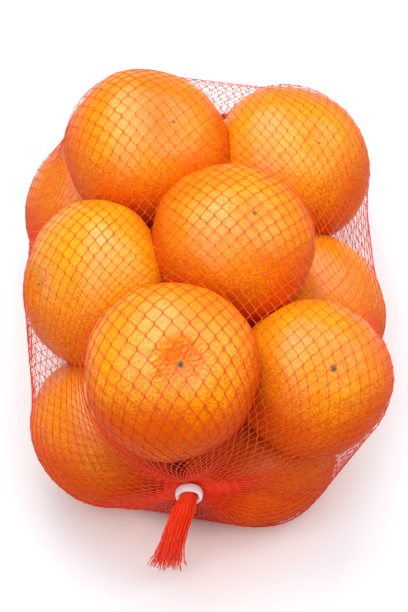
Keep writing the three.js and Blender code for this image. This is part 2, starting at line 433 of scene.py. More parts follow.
# %% [markdown]
# The peel's finish is what sells the fruit. It is a waxy orange skin full of oil glands, little pits about a
# millimetre apart that are deeper in colour than the skin between them. A Voronoi texture spreads such
# spots evenly, and a fine noise mottles the skin between them; both are painted fainter where the peel faces
# up, as painted light. Wider clouds of noise shift the orange from yellower to redder. The peel is painted
# deeper orange where it faces down, as painted shade, and in a wrinkled dimple, partly for its glands and
# partly as painted shade. The blossom scar is a small grey dot, and on what faces up the wax makes a soft
# gloss that the pits break up. Pictures of peel could be wrapped round the balls instead, but they would
# crowd together at the poles.

# %% Peel material
YELLOW_ORANGE = (0.84, 0.36, 0.0012, 1)
DEEP_ORANGE = (0.68, 0.098, 0.0004, 1)
GLAND_ORANGE = (0.50, 0.066, 0.0003, 1)
SCAR_GREY = (0.17, 0.125, 0.06, 1)
SCAR_DARK = (0.05, 0.03, 0.015, 1)
STALK_GREEN = (0.30, 0.22, 0.012, 1)
GLANDS = SimpleNamespace(pitch=0.95, share=0.5, edge=(0.05, 0.6))
MOTTLE = SimpleNamespace(size=0.85, share=0.7, edge=(0.36, 0.64))
CLOUDS = SimpleNamespace(size=26, share=1.3)  # share is what they add to the ripeness
GRAIN = SimpleNamespace(size=2.6, share=0.35)
# Painted shade: how much deeper orange the peel is painted where it faces down.
PAINTED_SHADE_BELOW = 0.7
# In a wrinkled dimple the peel is deeper orange, partly for its glands and partly as painted shade.
DEEPER_AND_SHADED_IN_DIMPLE = 0.3
# Painted shade fades out over these values of how far up the peel faces.
PAINTED_SHADE_FADES_FROM_TO = (-0.1, 0.75)  # how far up the peel faces where it begins to get yellower and where it is
WAX_FROM_TO = (0.2, 0.9)  # the same for the gloss
# Over these millimetres the dimple's deeper colour, partly painted shade, fades.
DIMPLE_FROM_TO = (5, 14)  # millimetres from the blossom pole over which the dimple's colour fades
STALK_FROM_TO = (5, 12)  # millimetres from the stalk pole over which the green fades
SCAR_EDGE = (-0.35, 0.35)  # millimetres from the scar's rim over which it fades
STUB_EDGE = (-1.2, -0.5)  # the same for its dark middle
PEEL_ROUGHNESS = 0.32
PEEL_BUMP = 0.09
MATT_GLOSS = 0.03
WAX_GLOSS = 0.5


def gland_pits(start, place, pitch):
    """Round spots a pitch apart: 1 in the middle of each and 0 between them."""
    spots = {"Vector": place, "Scale": 1 / (pitch * MM), "Randomness": 0.85}
    from_spot = start.node("ShaderNodeTexVoronoi", {"feature": "F1"}, spots, "Distance")
    return 1 - step_between(from_spot, *GLANDS.edge)


def peel_finish():
    """Waxy orange peel with oil glands, a blossom scar and a greener stalk end.

    How ripe the fruit is, the clouds, the grain, painted shade where the peel faces down, and the dimple,
    partly painted shade there, add up to a share of deep orange in the skin. Glands and mottles deepen it
    further, painted fainter where the peel faces up as painted light, and the rest is laid over it.
    """
    material, start = blank_finish("mandarin_peel")
    place = object_place(start)
    pit = gland_pits(start, place, GLANDS.pitch)
    clouds = noise(start, place, CLOUDS.size, 3)
    grain = noise(start, place, GRAIN.size, 3)
    mottle = step_between(noise(start, place, MOTTLE.size, 4), *MOTTLE.edge)
    blossom = attribute(start, "from_blossom")
    stalk = attribute(start, "from_stalk")
    faces_up = attribute(start, "faces_up")
    in_dimple = attribute(start, "wrinkled") * (1 - step_between(blossom, *DIMPLE_FROM_TO))
    below = 1 - step_between(faces_up, *PAINTED_SHADE_FADES_FROM_TO)
    ripeness = attribute(start, "ripeness") + (clouds - 0.5) * CLOUDS.share + (grain - 0.5) * GRAIN.share
    # Painted shade: the share of deep orange grows where the peel faces down and in a wrinkled dimple.
    ripeness = ripeness + PAINTED_SHADE_BELOW * below + in_dimple * DEEPER_AND_SHADED_IN_DIMPLE
    skin = mixed(ripeness, YELLOW_ORANGE, DEEP_ORANGE)
    # Painted light: the glands and mottles are fainter where the peel faces up, as if its gloss washed them
    # out.
    spotted = (pit * GLANDS.share + mottle * MOTTLE.share) * (1 - faces_up * 0.5)
    skin = mixed(spotted, skin, GLAND_ORANGE)
    skin = mixed(0.55 * (1 - step_between(stalk + grain * 5, *STALK_FROM_TO)), skin, STALK_GREEN)
    from_scar = blossom - attribute(start, "scar")
    scar = 1 - step_between(from_scar + (grain - 0.5) * 1.1, *SCAR_EDGE)
    stub = 1 - step_between(from_scar + (grain - 0.5) * 1.5, *STUB_EDGE)
    colour = mixed(scar, skin, mixed(stub, SCAR_GREY, SCAR_DARK))
    height = (1 - pit) * 0.6 + (1 - mottle) * 0.5 + grain * 0.5
    bump = start.node("ShaderNodeBump", {}, {"Strength": 0.9, "Distance": PEEL_BUMP * MM, "Height": height})
    rough = PEEL_ROUGHNESS + pit * 0.1 + (grain - 0.5) * 0.2 + scar * 0.3
    look = {"Base Color": colour, "Roughness": rough, "Normal": bump}
    matt = start.node("ShaderNodeBsdfPrincipled", {}, look | {"Specular IOR Level": MATT_GLOSS})
    waxed = start.node("ShaderNodeBsdfPrincipled", {}, look | {"Specular IOR Level": WAX_GLOSS})
    wax = step_between(faces_up, *WAX_FROM_TO) * (1 - pit * 0.5) * (1 - in_dimple * 0.2)
    output(start, start.node("ShaderNodeMixShader", {}, {0: wax, 1: matt, 2: waxed}))
    return material


peel = peel_finish()
peel_faces = ball_triangles(PEEL_ROWS, PEEL_COLUMNS)
for name, fruit in fruits.items():
    points, ways = peel_points(name)
    piece = put_piece(
        "mandarin_" + name,
        points,
        peel_faces,
        peel,
        from_blossom=distance_from_pole(fruit, ways, 1),
        from_stalk=distance_from_pole(fruit, ways, -1),
        ripeness=np.full(len(points), fruit.ripe),
        wrinkled=np.full(len(points), fruit.wrinkled),
        scar=np.full(len(points), fruit.scar),
        faces_up=ways[:, 2],
    )
    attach(piece, "root")
    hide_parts("net_bag")
print(len(fruits), "peels of", len(peel_faces), "triangles each")

# %% [markdown]
# At the stalk end sits the calyx: a dry green star of five lobes with the stub of the stalk in its middle.
# Most of them face into the heap, but some show from the sides. One grid makes a star: its rows run from
# the middle over the top to the rim and back underneath, a little inside the peel, so that it is closed.
# A flat star with Solidify would be closed too, but it wouldn't follow the peel.

# %% Calyx stars
STAR = SimpleNamespace(radius=3.3, lobe=0.28, lobes=5, thick=0.75, sunk=0.5, stub_high=0.9, stub_wide=1.0)
CALYX_BROWN = (0.16, 0.10, 0.035, 1)
CALYX_GREEN = (0.085, 0.11, 0.022, 1)
STAR_ROWS = 9
STAR_COLUMNS = 40


def star_points(fruit):
    """A star on the stalk pole: height over the peel falls from the stub to the rim, then runs back below."""
    share = np.concatenate([np.linspace(0.08, 1, STAR_ROWS), np.linspace(0.9, 0.08, STAR_ROWS - 2)])[:, None]
    top = np.concatenate([np.ones(STAR_ROWS), np.zeros(STAR_ROWS - 2)])[:, None]
    around = -2 * np.pi * np.arange(STAR_COLUMNS)[None, :] / STAR_COLUMNS
    lobes = 1 + STAR.lobe * np.cos(STAR.lobes * around + fruit.turn) + 0.06 * np.cos(3 * around)
    out = STAR.radius * share * (1 + share**2 * (lobes - 1))
    dome = STAR.thick * (1 - share**2.5) + STAR.stub_high * hill(out, STAR.stub_wide)
    height = np.where(top > 0, dome, -STAR.sunk) + 0 * around
    angle = np.pi - out / fruit.wide
    flat = np.sin(angle)
    local = np.stack([flat * np.cos(around), flat * np.sin(around), np.cos(angle) + 0 * around], -1)
    poles = np.array([[0, 0, -1.0], [0, 0, -1.0]])
    ways = np.concatenate([local.reshape(-1, 3), poles]) @ fruit.axes
    heights = np.concatenate([height.ravel(), [STAR.thick + STAR.stub_high, -STAR.sunk]])
    radius = np.concatenate([out.ravel(), [0, STAR.radius]])
    points = fruit.middle + ways * (reach(fruit, ways) + heights)[:, None]
    points[:, 2] = np.maximum(points[:, 2], UNDER_NET)
    return points, radius


def calyx_finish():
    """Dry green leaf that turns brown towards the stub, with fine wrinkles."""
    material, start = blank_finish("calyx_green")
    grain = noise(start, object_place(start), 0.9, 4)
    out = attribute(start, "from_stub") + (grain - 0.5) * 1.4
    colour = mixed(step_between(out, 0.5, 2.2), CALYX_BROWN, CALYX_GREEN)
    bump = start.node("ShaderNodeBump", {}, {"Strength": 0.7, "Distance": 0.1 * MM, "Height": grain})
    sockets = {"Base Color": colour, "Roughness": 0.75, "Normal": bump}
    output(start, start.node("ShaderNodeBsdfPrincipled", {}, sockets))
    return material


stars = [star_points(fruit) for fruit in fruits.values()]
star_faces = ball_triangles(2 * STAR_ROWS - 2, STAR_COLUMNS)
star_size = len(stars[0][0])
calyx = put_piece(
    "calyx_stars",
    np.concatenate([points for points, _ in stars]),
    np.concatenate([star_faces + star_size * order for order in range(len(stars))]),
    calyx_finish(),
    from_stub=np.concatenate([radius for _, radius in stars]),
)
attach(calyx, "root")
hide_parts("net_bag")
print(len(stars), "calyx stars")

# %% [markdown]
# The net is a knitted tube that is drawn tight over the heap. It lies on the fruits, but it is too springy to
# fall into the gaps between them. For the net each fruit is a plain flattened ball, which is quick to test,
# and a bridge is a tube from one ball to another that keeps it out of a gap. Blender's cloth could be draped
# over the peels too, but it has to be run through the timeline, and here a few lines of arrays do as well.

# %% What the net lies on
STAND_OFF = 0.5  # from a fruit's ball to the middle of the strands
# two fruits, and the radius of the tube between them as a share of theirs
BRIDGES = [
    ("back_left_top", "back_right_top", 1.0),
    ("back_left_top", "back_left_low", 0.97),
    ("back_left_low", "left_flank", 0.9),
    ("left_flank", "front_left_low", 0.94),
    ("back_left_low", "front_left_low", 0.94),
    ("back_right_top", "right_low", 0.95),
    ("right_low", "right_flank", 0.9),
    ("right_flank", "front_right_low", 1.06),
    ("right_low", "front_right_low", 0.95),
]


def net_ball(fruit):
    """The flattened ball of a fruit as the net meets it, grown by the stand-off and the slack."""
    grow = STAND_OFF + fruit.slack
    lift = fruit.slack if fruit.standing else 0
    middle = fruit.middle + (0, 0, lift)
    return SimpleNamespace(middle=middle, pole=fruit.axes[2], wide=fruit.wide + grow, high=fruit.high + grow)


def leave_ball(points, ball):
    """Moves the points that are inside a ball straight out from its middle to its skin, in place."""
    away = points - ball.middle
    along = away @ ball.pole
    square = np.einsum("ij,ij->i", away, away) - along**2
    depth = np.sqrt(square / ball.wide**2 + along**2 / ball.high**2)
    inside = depth < 1
    points[inside] = ball.middle + away[inside] / depth[inside, None]


def leave_bridge(points, first, second, fullness):
    """Moves the points that are inside a tube from one ball to another straight out of it, in place."""
    line = second.middle - first.middle
    share = np.clip((points - first.middle) @ line / (line @ line), 0, 1)
    nearest = first.middle + share[:, None] * line
    away = points - nearest
    distance = np.linalg.norm(away, axis=-1)
    radii = [fullness * (ball.wide + ball.high) / 2 for ball in (first, second)]
    radius = radii[0] + share * (radii[1] - radii[0])
    inside = distance < radius
    points[inside] = nearest[inside] + away[inside] * (radius / distance)[inside, None]


print(len(BRIDGES), "bridges keep the net out of the gaps")

# %% [markdown]
# The knots of the net are in rows, each row turned by half a knot against the last, and each knot is tied to
# two knots in the row before and two in the row after. They start on a wide egg round the heap, with the
# first and the last row gathered behind the rings. A straight tube would be a simpler start, but its ends
# would have far to go.

# %% The loose net
COLUMNS = 76
ROWS = 88
EGG = SimpleNamespace(middle=(0, -7.5, 60), half=(130, 150, 130))
RING_FRONT = SimpleNamespace(at=(-5.5, -96.5, 38.5), out=(0, -1, 0.1))
RING_BACK = SimpleNamespace(at=(-24, 96.5, 36), out=(0, 1, -0.1))
RING_BORE = 6.6
RING_WALL = 1.8
RING_LENGTH = 3.2
RING_GAP = 0.3
NECK = 2.0  # length of bundle that shows behind a ring
BUNDLE = RING_BORE / 2 - RING_GAP
GOLDEN = 0.618034  # share of a turn that spreads a row of numbers evenly


def turns(row, columns=COLUMNS):
    """The angle of each knot of a row round the tube. Odd rows are turned by half a knot."""
    return 2 * np.pi * (np.arange(columns) + (row % 2) / 2) / columns


def spread(start, columns=COLUMNS):
    """Shares of a disc's radius that fill the disc evenly when they are taken in turn round it."""
    return np.sqrt((np.arange(columns) * GOLDEN + start) % 1)


def neck_row(ring, row, columns):
    """The row of knots that is gathered into a round bundle just behind a ring."""
    out = unit(np.array(ring.out, float))
    middle = np.array(ring.at) - out * (RING_LENGTH / 2 + NECK)
    side = np.array([1.0, 0, 0])
    up = np.cross(side, out) * np.sign(out[1])
    angle = turns(row, columns)[:, None]
    return middle + BUNDLE * spread(0.25, columns)[:, None] * (np.cos(angle) * side + np.sin(angle) * up)


def egg_row(row, rows, columns):
    """A row of knots round the egg that the net starts from."""
    slice_angle = np.pi * row / rows
    angle = turns(row, columns)
    x = EGG.half[0] * np.sin(slice_angle) * np.cos(angle)
    z = EGG.half[2] * np.sin(slice_angle) * np.sin(angle)
    y = np.full(columns, -EGG.half[1] * np.cos(slice_angle))
    return np.stack([x, y, z], -1) + EGG.middle


def loose_net(rows, columns):
    """The knots before the net is drawn tight, by row and column."""
    between = [egg_row(row, rows, columns) for row in range(1, rows)]
    return np.stack([neck_row(RING_FRONT, 0, columns), *between, neck_row(RING_BACK, rows, columns)])


def finer(knots, columns):
    """A net with twice the rows, whose knots lie on straight lines between the knots of the first net."""
    rows, coarse = len(knots) - 1, knots.shape[1]
    row, column = np.mgrid[0 : 2 * rows + 1, 0:columns]
    place = (column + (row % 2) / 2) * coarse / columns

    def on_row(first_row):
        at = place - (first_row % 2) / 2
        low = np.floor(at).astype(int)
        share = (at - low)[..., None]
        return (1 - share) * knots[first_row, low % coarse] + share * knots[first_row, (low + 1) % coarse]

    made = (on_row(row // 2) + on_row((row + 1) // 2)) / 2
    made[0] = neck_row(RING_FRONT, 0, columns)
    made[-1] = neck_row(RING_BACK, 2 * rows, columns)
    return made


print("the loose net has", (ROWS + 1) * COLUMNS, "knots")

# %% [markdown]
# Now the net is drawn in step by step: a stretched strand pulls its knots together, a slack one hardly does,
# and a knot that would go into a fruit is put back on its skin, where friction holds it. News travels only
# one knot per step, so a net with half as many rows and columns is drawn tight first, and the fine net
# starts from where that one came to lie.

# %% The net drawn tight
COARSER = 2
COARSE_STEPS = 1500
FINE_STEPS = 420
SETTLING = 40  # last steps, in which the net also keeps clear of the true form of the peel
STRAND = 3.7  # length of a strand between two knots that is just taut
CRIMP = 0.04  # share of a taut strand's pull that a slack, crimped one keeps
WEIGHT = 0.0084  # how far a step lets the slack net sag
PULL = 0.22
GLIDE = 0.96  # share of its speed that a knot keeps
GRIP = 0.6  # friction: share of the push on the peel that holds a knot back from sliding along it
LONGEST_STEP = 1.2
STRAND_RADIUS = 0.055  # of a strand that is stretched
ON_PEEL = 0.15  # from the peel to the middle of a strand that lies on it
NOTHING = 1e-9  # keeps a division by zero away


def tied_knots(rows, columns):
    """For each free knot, the numbers of the four knots that it is tied to."""
    row, column = np.mgrid[1:rows, 0:columns]
    left = (column - 1 + row % 2) % columns
    right = (left + 1) % columns
    before, after = (row - 1) * columns, (row + 1) * columns
    return np.stack([before + left, before + right, after + left, after + right], -1).reshape(-1, 4)


def held_back(move, push_way):
    """Moves less what friction takes: the slide along the peel loses a share of the push on the peel.

    A knot that touches nothing has a push way of zero length, so that it keeps its move.
    """
    push = np.einsum("ij,ij->i", move, push_way)
    slide = move - push[:, None] * push_way
    speed = np.linalg.norm(slide, axis=-1)
    lost = np.minimum(1, GRIP * np.maximum(0, -push) / np.maximum(speed, NOTHING))
    return move - lost[:, None] * slide


def draw_tight(net, steps, settling):
    """The knots of a net after it was drawn tight. A coarser net has longer strands and heavier knots."""
    rows, columns = len(net) - 1, net.shape[1]
    scale = COLUMNS / columns
    knots = net.reshape(-1, 3)
    free = knots[columns:-columns]
    last = free.copy()
    tied = tied_knots(rows, columns)
    balls = {name: net_ball(fruit) for name, fruit in fruits.items()}
    push_way = np.zeros_like(free)
    for step in range(steps):
        strands = knots[tied] - free[:, None]
        lengths = np.sqrt(np.einsum("ijk,ijk->ij", strands, strands))
        tight = CRIMP + np.maximum(0, 1 - STRAND * scale / lengths)
        move = GLIDE * (free - last) + PULL * np.einsum("ijk,ij->ik", strands, tight)
        move[:, 2] -= WEIGHT * scale**2
        move = held_back(move, push_way)
        move *= np.minimum(1, LONGEST_STEP / np.linalg.norm(move, axis=-1, keepdims=True))
        last = free.copy()
        free += move
        wanted = free.copy()
        for first, second, fullness in BRIDGES:
            leave_bridge(free, balls[first], balls[second], fullness)
        for ball in balls.values():
            leave_ball(free, ball)
        if step >= steps - settling:
            for fruit in fruits.values():
                pushed_out(free, fruit, ON_PEEL)
        free[:, 2] = np.maximum(free[:, 2], STRAND_RADIUS)
        pushed = free - wanted
        push_way = pushed / np.maximum(np.linalg.norm(pushed, axis=-1, keepdims=True), NOTHING)
    return net


coarse_net = draw_tight(loose_net(ROWS // COARSER, COLUMNS // COARSER), COARSE_STEPS, 0)
knots = draw_tight(finer(coarse_net, COLUMNS), FINE_STEPS, SETTLING)
print("the net spans", np.ptp(knots.reshape(-1, 3), axis=0).round(1), "mm")

# %% [markdown]
# Two families of strands run through the knots, one climbing to the right and one to the left. At a knot
# the two run together for a short way, which is what makes a knot longer than it is wide. Straight lines
# from knot to knot would be simpler, but they cross like wire.

# %% Strands through the bag
KNOT_REACH = 0.16  # share of a strand's length that belongs to the knot at each end
KNOT_TOGETHER = 0.6  # how far the two strands of a knot run the same way there


def family_columns(lean):
    """The column of the knot that each strand passes in each row: it moves on by one every two rows."""
    row = np.arange(ROWS + 1)[:, None]
    strand = np.arange(COLUMNS)[None, :]
    return (strand + row // 2 if lean > 0 else strand - (row + 1) // 2) % COLUMNS


def mean_way(rows_on):
    """From each knot to the middle of the two knots that it is tied to, in the next or the last row."""
    row, column = np.mgrid[0 : ROWS + 1, 0:COLUMNS]
    left = (column - 1 + row % 2) % COLUMNS
    other = np.clip(row + rows_on, 0, ROWS)
    return (knots[other, left] + knots[other, (left + 1) % COLUMNS]) / 2 - knots


def bag_ways(columns):
    """Points along the strands of a family: a knot, the point where it leaves it, where it meets the next."""
    row = np.arange(ROWS + 1)[:, None]
    path = knots[row, columns]
    own = path[1:] - path[:-1]
    onward = mean_way(1)[row, columns][:-1]
    back = mean_way(-1)[row, columns][1:]
    leaving = path[:-1] + KNOT_REACH * (own + KNOT_TOGETHER * (onward - own))
    meeting = path[1:] + KNOT_REACH * (-own + KNOT_TOGETHER * (back + own))
    steps = np.stack([path[:-1], leaving, meeting], axis=1).reshape(-1, COLUMNS, 3)
    return np.concatenate([steps, path[-1:]])


print(2 * COLUMNS, "strands run through the knots")

# %% [markdown]
# Outside the rings the strands go on into the tails: from a round bundle to a flat fan with a frayed, uneven
# end. Each strand keeps its own place in the bundle. A hair system could make such a tuft, but its hairs
# wouldn't go on from the strands of the bag.

# %% Strands of the tails
TAIL_FRONT = [(-2.2, -7, -1.5), (-4.5, -10.5, -7), (-6.6, -13, -16), (-8.6, -14, -29)]
TAIL_BACK = [(0.5, 7, -2.5), (1, 10.5, -8), (2.5, 13, -17), (4, 14, -28)]
TAIL_END_WIDTH = 6.6
TAIL_END_THICKNESS = 2.2
TAIL_SECTIONS = 20
TAIL_FLARE = 3.0
TAIL_BULGE = 1.2  # how much wider the bundle gets as soon as it leaves a ring
TAIL_BULGE_WITHIN = 0.08  # share of the tail's length in which it does so
TAIL_WAVE = SimpleNamespace(high=0.18, length=9.0)
TAIL_CUT = 0.1  # share of the tail's length by which a strand may fall short
TAIL_FRAY = 1.1
TAIL_SEED = 7


def smooth_line(points, count):
    """Evenly spaced points on a curve through given ones, with slopes from the neighbours of each point."""
    points = np.array(points, float)
    slopes = np.gradient(points, axis=0)
    place = np.linspace(0, len(points) - 1, 40 * len(points))
    first = np.minimum(place.astype(int), len(points) - 2)
    t = (place - first)[:, None]
    line = (2 * t**3 - 3 * t**2 + 1) * points[first] + (t**3 - 2 * t**2 + t) * slopes[first]
    line += (3 * t**2 - 2 * t**3) * points[first + 1] + (t**3 - t**2) * slopes[first + 1]
    length = np.concatenate([[0], np.cumsum(np.linalg.norm(np.diff(line, axis=0), axis=-1))])
    wanted = np.linspace(0, length[-1], count)
    return np.stack([np.interp(wanted, length, line[:, axis]) for axis in range(3)], -1), length[-1]


def tail_ways(ring, path, row, lean):
    """Points along the strands of a tail, from the ring's mouth to the cut end, by section and column."""
    rng = np.random.default_rng(TAIL_SEED + row + 2 * lean)
    out = unit(np.array(ring.out, float))
    mouth = np.array(ring.at) + out * (RING_LENGTH / 2 + RING_GAP)
    line, length = smooth_line([mouth, *(np.array(ring.at) + path)], 8 * TAIL_SECTIONS)
    tangent = unit(np.gradient(line, axis=0))
    side = unit(np.array([1.0, 0, 0]) - tangent * tangent[:, :1])
    up = np.cross(side, tangent) * np.sign(out[1])
    share = np.linspace(0, 1, TAIL_SECTIONS)[:, None] * (1 - TAIL_CUT * rng.uniform(0, 1, COLUMNS) ** 2)
    at = share * (len(line) - 1)
    low = np.minimum(at.astype(int), len(line) - 2)

    def along(values):
        return values[low] + (at - low)[..., None] * (values[low + 1] - values[low])

    radius = spread(0.25 + 0.25 * lean)
    free = BUNDLE + TAIL_BULGE * (1 - np.exp(-share / TAIL_BULGE_WITHIN))
    wide = free + (TAIL_END_WIDTH - free) * share**TAIL_FLARE
    thick = BUNDLE + (TAIL_END_THICKNESS - BUNDLE) * share
    wave = TAIL_WAVE.high * share**0.5 * np.sin(
        2 * np.pi * share * length / TAIL_WAVE.length + rng.uniform(0, 2 * np.pi, COLUMNS)
    )
    fray = TAIL_FRAY * share**3
    sideways = wide * radius * np.cos(turns(row)) + wave + fray * rng.normal(size=COLUMNS)
    upwards = thick * radius * np.sin(turns(row)) + fray * rng.normal(size=COLUMNS)
    return along(line) + sideways[..., None] * along(side) + upwards[..., None] * along(up)


def strand_ways(lean):
    """All points of a family of strands, from the cut end of one tail to that of the other."""
    columns = family_columns(lean)
    front = tail_ways(RING_FRONT, TAIL_FRONT, 0, lean)[::-1][:, columns[0]]
    back = tail_ways(RING_BACK, TAIL_BACK, ROWS, lean)[:, columns[-1]]
    return np.concatenate([front, bag_ways(columns), back])


print("the tails have", TAIL_SECTIONS, "sections each")

# %% [markdown]
# Each strand becomes a tube with three sides, drawn smooth. It is a tenth of a millimetre thick where the net
# is stretched, a third in the tails and over half of one at the knots, so nobody can count the sides, and
# more of them would only cost triangles. The tube's cross is carried along the strand without twisting.
# Blender's curves with a bevel make tubes too, but arrays also give each point what the finish reads.

# %% Tubes along the strands
SIDES = 3
KNOT_SWELL = 4.4
RELAXED = 3.2  # how many times thicker a strand is in a ring, where nothing stretches it
STRETCHED_AFTER = 13  # rows from the front ring over which it gets thin
SOONER_AT_BACK = 4  # how many times sooner it does so at the back ring
RADIUS_SPREAD = 0.08


def knotted():
    """How far each section of a strand is part of a knot: 1 at it, less just beside it, 0 in the tails."""
    bag = np.tile([1.0, 0.25, 0.25], ROWS)
    return np.concatenate([np.zeros(TAIL_SECTIONS), bag, [1.0], np.zeros(TAIL_SECTIONS)])


def fullness():
    """How many times thicker than a stretched strand each section is: it falls with the rows from a ring."""
    rows_on = np.arange(3 * ROWS + 1) / 3
    from_ring = np.minimum(rows_on, SOONER_AT_BACK * (ROWS - rows_on))
    tail = np.full(TAIL_SECTIONS, RELAXED)
    return np.concatenate([tail, 1 + (RELAXED - 1) * np.exp(-from_ring / STRETCHED_AFTER), tail])


def carried_cross(tangents):
    """Two directions across each strand: the last one, less its share along the new way of the strand."""
    across = np.empty_like(tangents)
    across[0] = unit(np.cross(tangents[0], (0.2, 0.3, 1.0)))
    for step in range(1, len(tangents)):
        along = np.einsum("ij,ij->i", across[step - 1], tangents[step])
        across[step] = unit(across[step - 1] - along[:, None] * tangents[step])
    return across, np.cross(tangents, across)


def tubes(paths, radii):
    """Points and faces of closed tubes: a ring of points round each section, and a lid at each end."""
    sections, strands = paths.shape[:2]
    first, second = carried_cross(unit(np.gradient(paths, axis=0)))
    angle = 2 * np.pi * np.arange(SIDES) / SIDES
    spokes = np.cos(angle)[:, None] * first[:, :, None] + np.sin(angle)[:, None] * second[:, :, None]
    points = paths[:, :, None] + radii[:, :, None, None] * spokes
    points = points.transpose(1, 0, 2, 3).reshape(-1, 3)
    wall = grid_corners(sections, SIDES)[:, ::-1]
    start_lid = np.arange(SIDES)[::-1]
    end_lid = (sections - 1) * SIDES + np.arange(SIDES)
    one = np.concatenate([wall[:, [0, 1, 2]], wall[:, [0, 2, 3]], [start_lid], [end_lid]])
    steps = np.arange(strands)[:, None, None] * sections * SIDES
    return points, (one[None] + steps).reshape(-1, 3)


print("a tube has", SIDES, "sides")

# %% [markdown]
# The thread is a slightly shiny red plastic that is deeper at the knots. Gathered into a bundle it is a purer
# red than in a single strand, and it seems to glow, because light goes on from thread to thread inside. Real
# scattering in thousands of thin tubes is slow and grainy, so a faint glow of the bundles stands for it. A
# single strand is also painted a little darker, as painted shade for the shadow it casts on the peel beside
# it.

# %% Net material and pieces
NET_GLOW = 0.12
SINGLE_RED = (0.78, 0.070, 0.010, 1)
SINGLE_DEEP = (0.70, 0.042, 0.006, 1)
BUNDLE_RED = (0.88, 0.046, 0.007, 1)
BUNDLE_DEEP = (0.80, 0.026, 0.004, 1)
NO_GLOW = (0, 0, 0, 1)


def net_finish():
    """Red plastic thread: deeper at the knots and in streaks, purer and glowing where it is gathered."""
    material, start = blank_finish("net_red")
    place = object_place(start)
    streaks = noise(start, place, 6, 3)
    grain = noise(start, place, 0.5, 2)
    deep = attribute(start, "knot") * 0.6 + (streaks - 0.5) * 0.9 + 0.15
    # A single strand is a little darker than a bundle, partly as painted shade for the shadow it casts on the
    # peel.
    single = mixed(deep, SINGLE_RED, SINGLE_DEEP)
    bundled = mixed(deep, BUNDLE_RED, BUNDLE_DEEP)
    colour = mixed(attribute(start, "gathered"), single, bundled)
    bump = start.node("ShaderNodeBump", {}, {"Strength": 0.4, "Distance": 0.05 * MM, "Height": grain})
    rough = 0.32 + (grain - 0.5) * 0.2
    sockets = {"Base Color": colour, "Roughness": rough, "Normal": bump}
    glow = mixed(attribute(start, "gathered"), NO_GLOW, bundled)
    sockets |= {"Specular IOR Level": 0.2, "Emission Color": glow, "Emission Strength": NET_GLOW}
    output(start, start.node("ShaderNodeBsdfPrincipled", {}, sockets))
    return material


def net_piece(name, paths, rng):
    """A piece of the net from the ways of its strands, kept out of the peel and off the floor."""
    flat = paths.reshape(-1, 3)
    for fruit in fruits.values():
        pushed_out(flat, fruit, ON_PEEL)
    strands = paths.shape[1]
    swell = knotted()
    spread_radii = STRAND_RADIUS * (1 + RADIUS_SPREAD * rng.uniform(-1, 1, strands))
    radii = (fullness() + KNOT_SWELL * swell)[:, None] * spread_radii
    paths[..., 2] = np.maximum(paths[..., 2], radii)
    points, faces = tubes(paths, radii)
    shape = (strands, len(swell), SIDES)
    knot = np.broadcast_to(swell[None, :, None], shape)
    gathered = np.broadcast_to((fullness()[None, :, None] - 1) / (RELAXED - 1), shape)
    piece = put_piece(name, points, faces, net, knot=knot, gathered=gathered)
    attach(piece, "root")
    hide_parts("net_bag")
    print(name, "has", len(faces), "triangles")


net = net_finish()
for lean, side in ((1, "right"), (-1, "left")):
    rng = np.random.default_rng(TAIL_SEED + 20 + lean)
    halves = np.array_split(strand_ways(lean), 2, axis=1)
    for number, paths in enumerate(halves, 1):
        net_piece(f"net_{side}_strands_{number}", np.ascontiguousarray(paths), rng)

# %% [markdown]
# Each ring is a short moulded sleeve of milky plastic. Its section is a rectangle with round corners, which
# a superellipse gives in one formula, with a fine parting line where the two halves of the mould met. A
# bevelled cylinder would look much the same, but it has no place for that line.

# %% Rings
RING_AROUND = 96
RING_SECTION = 48
RING_ROUNDNESS = 3.0  # 2 is an ellipse, more is squarer
PARTING_LINE = 0.07
RING_SHADE = (0.74, 0.67, 0.69, 1)
RING_PALE = (0.82, 0.76, 0.78, 1)


def rounded(values, power):
    """A sine or cosine drawn out towards a square wave."""
    return np.sign(values) * np.abs(values) ** (2 / power)


def ring_points(ring):
    """A superellipse section carried round the axis of a ring."""
    out = unit(np.array(ring.out, float))
    side = np.array([1.0, 0, 0])
    up = np.cross(out, side)
    around = 2 * np.pi * np.arange(RING_AROUND)[:, None] / RING_AROUND
    section = 2 * np.pi * np.arange(RING_SECTION)[None, :] / RING_SECTION
    line = PARTING_LINE * hill(np.abs(np.angle(np.exp(1j * section))), 0.12)
    radius = (RING_BORE + RING_WALL) / 2 + RING_WALL / 2 * rounded(np.cos(section), RING_ROUNDNESS) + line
    length = RING_LENGTH / 2 * rounded(np.sin(section), RING_ROUNDNESS)
    spoke = np.cos(around)[..., None] * side + np.sin(around)[..., None] * up
    return np.array(ring.at) + radius[..., None] * spoke + length[..., None] * out


def ring_finish():
    """Milky plastic that lets some light through, with faint flow clouds."""
    material, start = blank_finish("ring_milky")
    clouds = noise(start, object_place(start), 3.5, 3)
    colour = mixed(clouds, RING_SHADE, RING_PALE)
    bump = start.node("ShaderNodeBump", {}, {"Strength": 0.25, "Distance": 0.05 * MM, "Height": clouds})
    sockets = {"Base Color": colour, "Roughness": 0.3 + (clouds - 0.5) * 0.2, "Normal": bump}
    sockets |= {"Subsurface Weight": 0.25, "Subsurface Radius": (0.002, 0.0018, 0.0016)}
    output(start, start.node("ShaderNodeBsdfPrincipled", {}, sockets))
    return material


milky = ring_finish()
ring_faces = grid_corners(RING_AROUND, RING_SECTION, wrap_rows=True)
for node, ring in (("ring_front", RING_FRONT), ("ring_back", RING_BACK)):
    piece = put_piece(node + "_moulding", ring_points(ring).reshape(-1, 3), ring_faces, milky)
    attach(piece, "root")
    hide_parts(node)
print("two rings of", 2 * len(ring_faces), "triangles")
